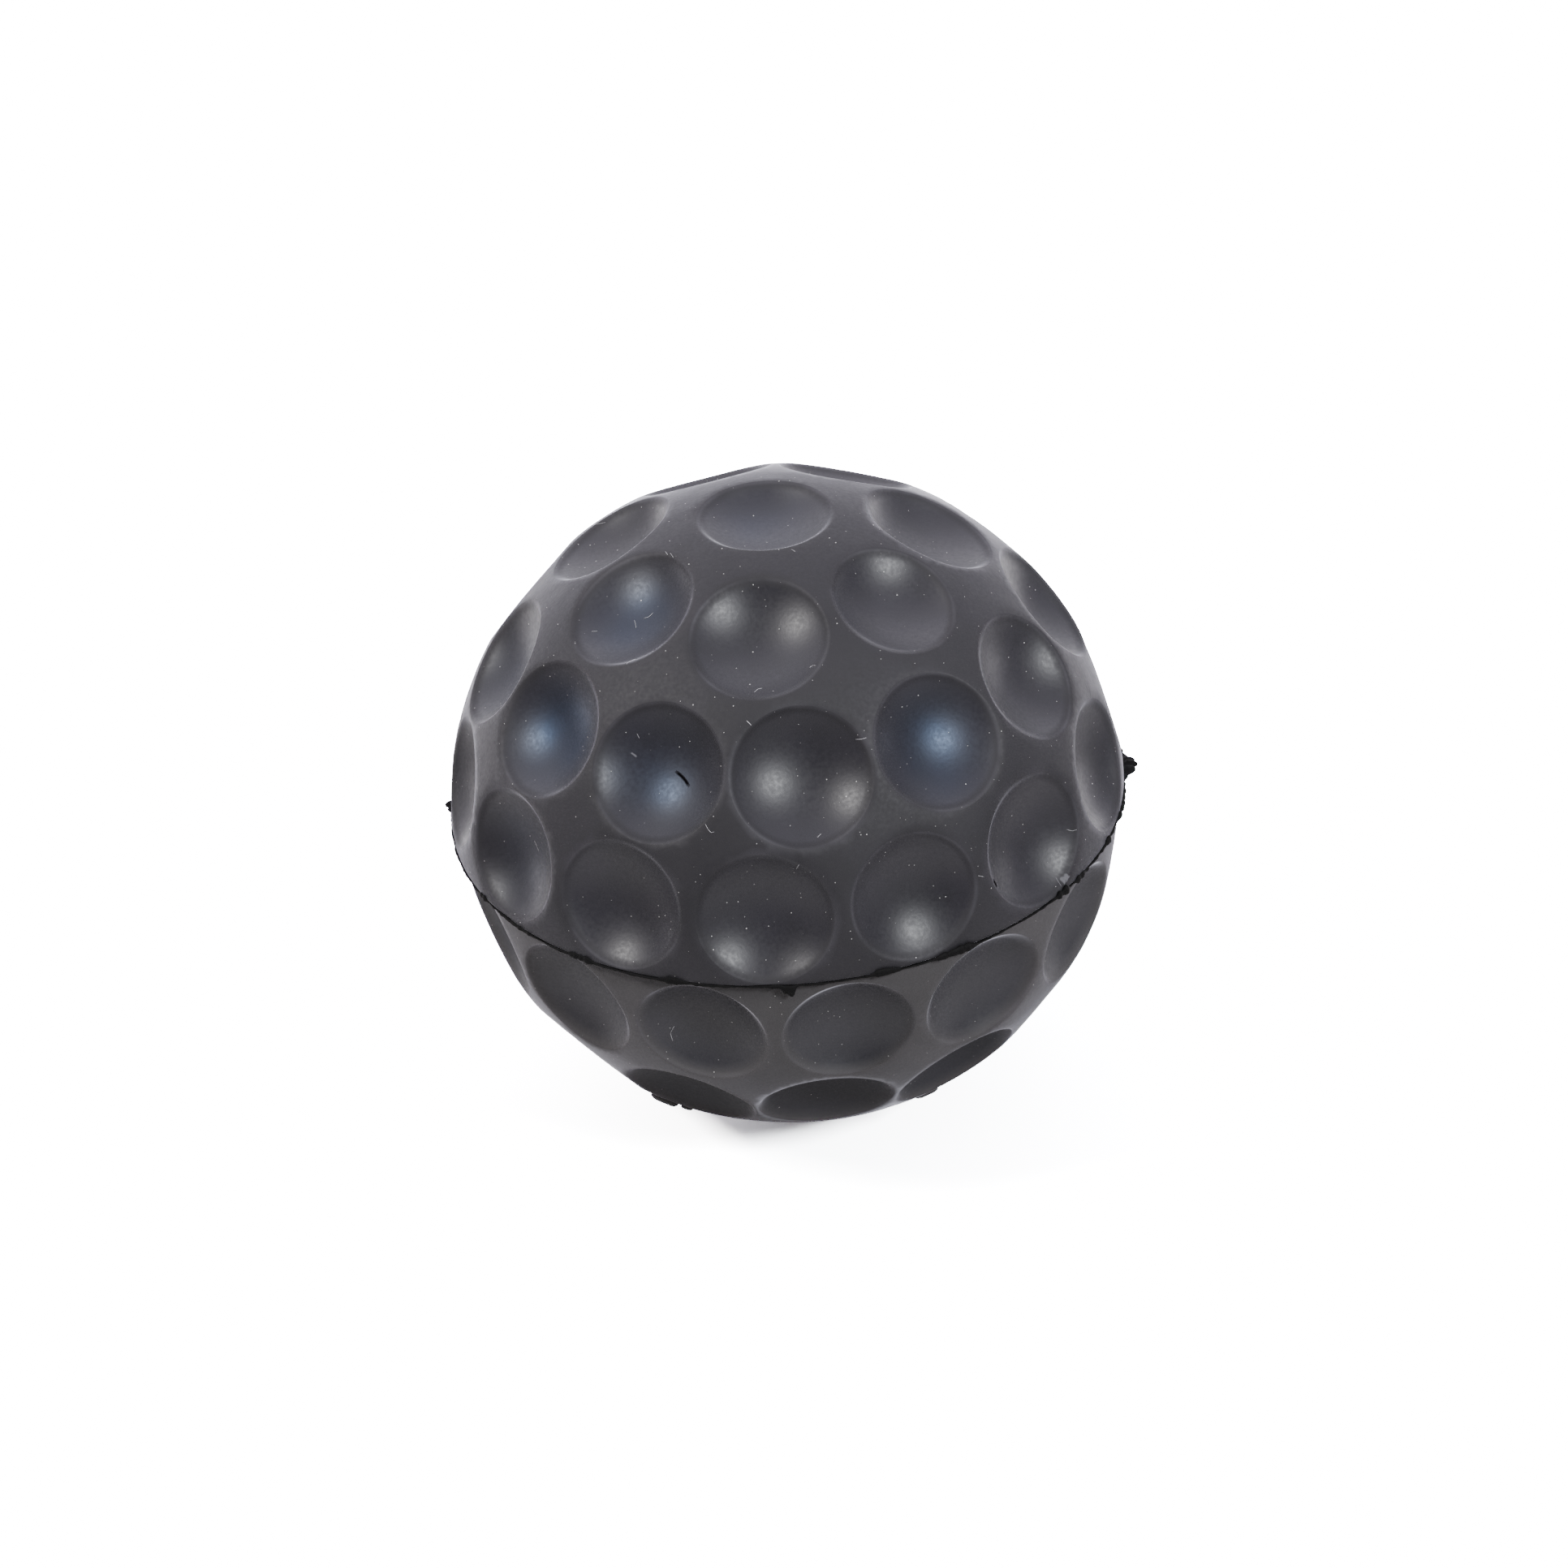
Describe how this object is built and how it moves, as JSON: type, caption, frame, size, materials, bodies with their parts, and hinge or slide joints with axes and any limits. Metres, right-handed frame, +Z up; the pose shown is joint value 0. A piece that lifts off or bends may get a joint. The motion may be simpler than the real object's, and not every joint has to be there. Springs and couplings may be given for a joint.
{
  "type": "watch case opening friction ball",
  "caption": "Hollow black rubber ball with deep round dimples over both moulded halves, pressed and turned by hand on a screwed watch case back to open it.",
  "frame": {"origin": "on the table under the middle of the ball, in the plane of the lowest dimple's rim", "axes": "+Z up through the middle dimple of each half, at right angles to the seam; -Y towards the front; +X to the right"},
  "size_m": [0.0666, 0.0654, 0.0621],
  "materials": {
    "shell_rubber": "matte moulded land, satin dimples",
    "flash_rubber": "torn, dull",
    "cement_rubber": "dull",
    "plug_rubber": "dull"
  },
  "bodies": {
    "root": {"upper_half_shell": "shell_rubber", "lower_half_shell": "shell_rubber", "seam_flash_ring": "flash_rubber", "seam_cement_ring": "cement_rubber", "inflation_plug": "plug_rubber"}
  },
  "joints": []
}
